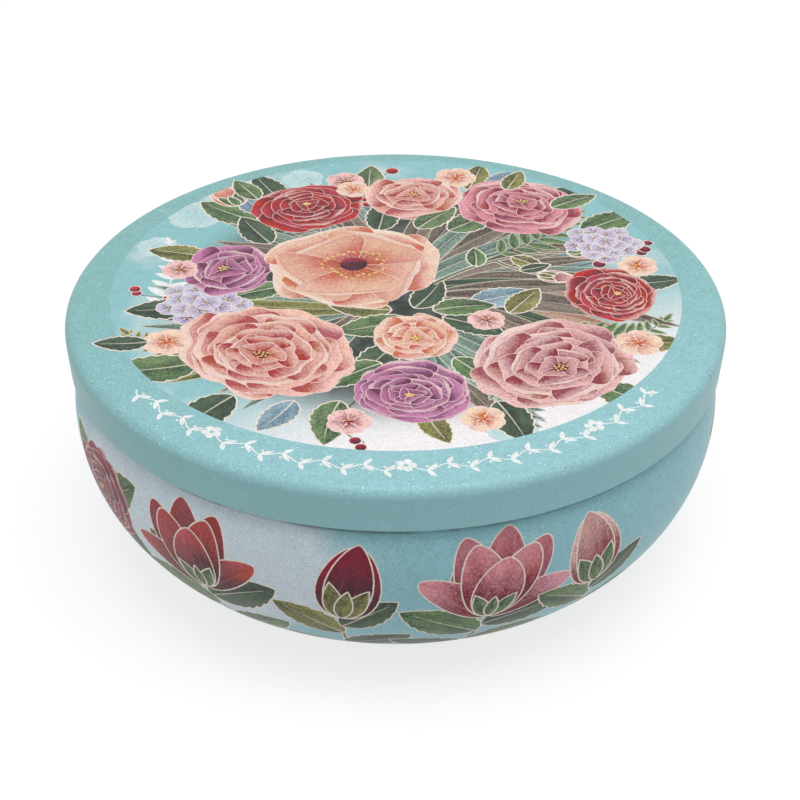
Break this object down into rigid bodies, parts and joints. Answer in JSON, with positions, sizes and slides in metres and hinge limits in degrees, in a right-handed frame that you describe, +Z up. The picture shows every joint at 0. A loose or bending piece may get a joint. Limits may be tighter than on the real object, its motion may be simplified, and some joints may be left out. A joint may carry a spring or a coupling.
{
  "type": "tea caddy",
  "caption": "Round low tea tin in printed tinplate: a flat slip lid with a short skirt over a seamless bowl-shaped body.",
  "frame": {"origin": "middle of the foot ring, on the surface that the tin stands on", "axes": "+Z up along the tin's axis, -Y towards the side that the picture shows, +X to its right"},
  "size_m": [0.14, 0.14, 0.056],
  "materials": {
    "body_print": "matte",
    "lid_print": "matte"
  },
  "bodies": {
    "body": {"tin_body": "body_print"},
    "lid": {"tin_lid": "lid_print"}
  },
  "joints": [
    {"name": "lid_lift", "type": "slide", "parent": "body", "child": "lid", "axis": [0, 0, 1], "range_m": [0, 0.08]}
  ]
}
